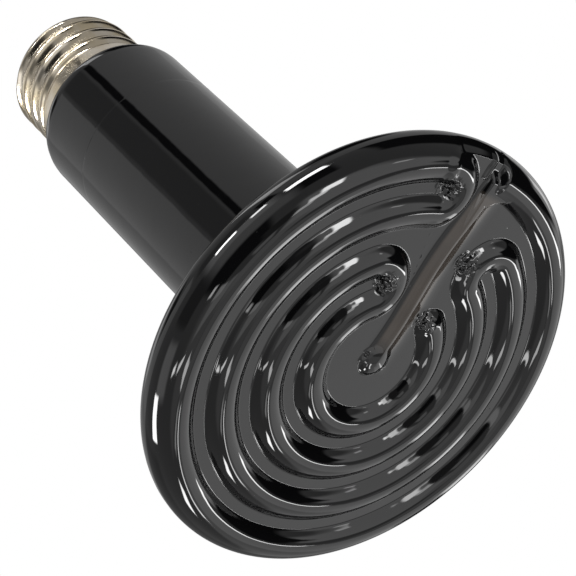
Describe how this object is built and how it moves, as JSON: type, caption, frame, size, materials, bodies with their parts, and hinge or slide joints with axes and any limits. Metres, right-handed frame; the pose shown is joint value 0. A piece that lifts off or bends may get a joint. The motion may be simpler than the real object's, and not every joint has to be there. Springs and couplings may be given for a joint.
{
  "type": "ceramic heat emitter",
  "caption": "Black glazed ceramic heat emitter: a round disc with winding ridges on its face, a hollow neck and an E26 screw cap.",
  "frame": {"origin": "centre of the part, at the height of the ridge crowns of its face", "axes": "+Z from the ridged face along the neck to the screw cap's contact; +X from the centre of the face along the straight stem ridge; +Y completes the right-handed frame"},
  "size_m": [0.082, 0.082, 0.1184],
  "materials": {
    "black_glaze": "gloss",
    "nickel_shell": "gloss",
    "cement": "matte",
    "black_glass": "gloss",
    "contact_brass": "satin",
    "solder": "satin",
    "lead_nickel": "satin",
    "sleeve_ceramic": "matte"
  },
  "bodies": {
    "root": {"ceramic_body": "black_glaze", "screw_shell": "nickel_shell", "cap_cement": "cement", "base_insulator": "black_glass", "centre_contact": "contact_brass", "contact_solder": "solder", "lead_wire_centre": "lead_nickel", "lead_wire_shell": "lead_nickel", "lead_sleeve_centre": "sleeve_ceramic", "lead_sleeve_shell": "sleeve_ceramic"}
  },
  "joints": []
}
